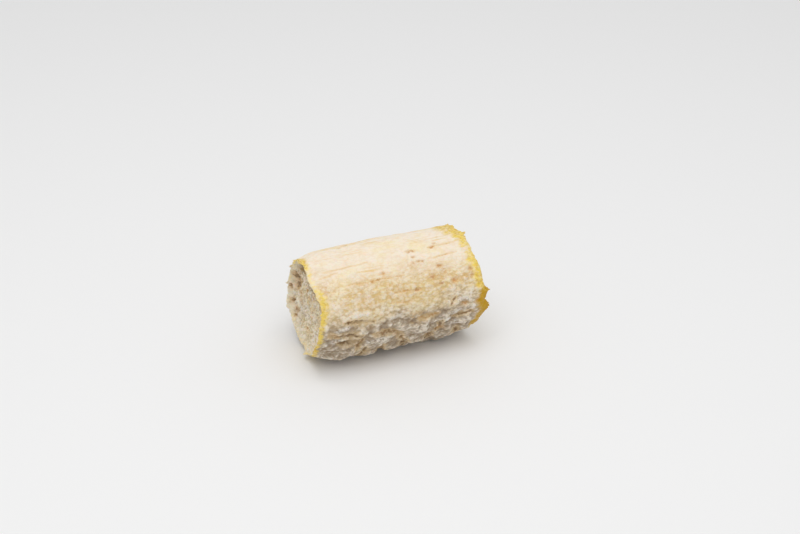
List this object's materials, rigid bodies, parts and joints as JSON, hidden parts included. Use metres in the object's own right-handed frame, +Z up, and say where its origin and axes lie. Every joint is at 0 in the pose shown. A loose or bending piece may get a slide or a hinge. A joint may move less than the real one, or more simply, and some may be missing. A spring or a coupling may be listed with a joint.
{
  "type": "goat cheese log",
  "caption": "Small ripened goat cheese log lying on its side, with a wrinkled mould rind, a torn yellow lip round each end and sunken end faces; food for a board or a plate.",
  "frame": {"origin": "middle of the flat that the log's own weight presses, on the surface it lies on", "axes": "+X along the log towards its right end as pictured, -Y towards the front side, +Z up"},
  "size_m": [0.0905, 0.0547, 0.0533],
  "materials": {
    "cheese_rind": "matte velvety cream and tan mould rind, grey-white and folded underneath, waxy yellow round both ends"
  },
  "bodies": {
    "root": {"cheese_log": "cheese_rind"}
  },
  "joints": []
}
